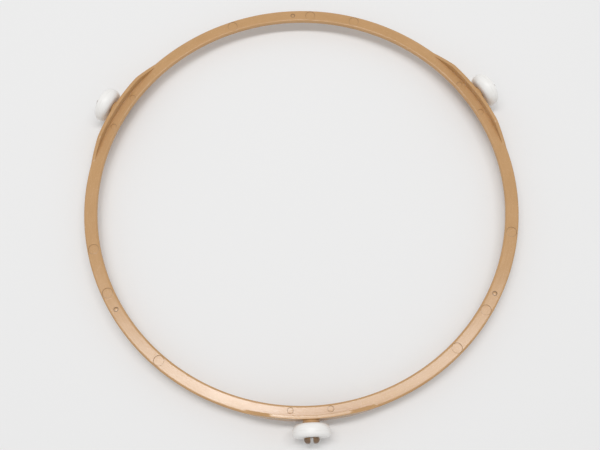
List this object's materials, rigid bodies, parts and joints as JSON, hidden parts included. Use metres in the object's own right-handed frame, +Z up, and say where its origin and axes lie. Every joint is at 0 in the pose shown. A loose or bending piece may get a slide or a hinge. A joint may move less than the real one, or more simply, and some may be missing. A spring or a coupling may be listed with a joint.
{
  "type": "microwave roller ring",
  "caption": "Moulded ring with barrel wheels on split axles, which carries and turns with the glass tray of a microwave oven.",
  "frame": {"origin": "centre of the ring, at mid-thickness of the band, where the three axle lines meet", "axes": "+Z up through the centre opening, towards the tray; the front wheel's axle points along -Y"},
  "size_m": [0.22, 0.2307, 0.018],
  "materials": {
    "tan_plastic": "semi-gloss",
    "white_plastic": "satin"
  },
  "bodies": {
    "ring": {"ring": "tan_plastic"},
    "wheel_front": {"wheel_front": "white_plastic"},
    "wheel_right": {"wheel_right": "white_plastic"},
    "wheel_left": {"wheel_left": "white_plastic"}
  },
  "joints": [
    {"name": "wheel_front_spin", "type": "hinge", "parent": "ring", "child": "wheel_front", "pos_m": [0, -0.1148, 0], "axis": [0, -1, 0], "continuous": true},
    {"name": "wheel_right_spin", "type": "hinge", "parent": "ring", "child": "wheel_right", "pos_m": [0.09942, 0.0574, 0], "axis": [0.866, 0.5, 0], "continuous": true},
    {"name": "wheel_left_spin", "type": "hinge", "parent": "ring", "child": "wheel_left", "pos_m": [-0.09942, 0.0574, 0], "axis": [-0.866, 0.5, 0], "continuous": true}
  ]
}
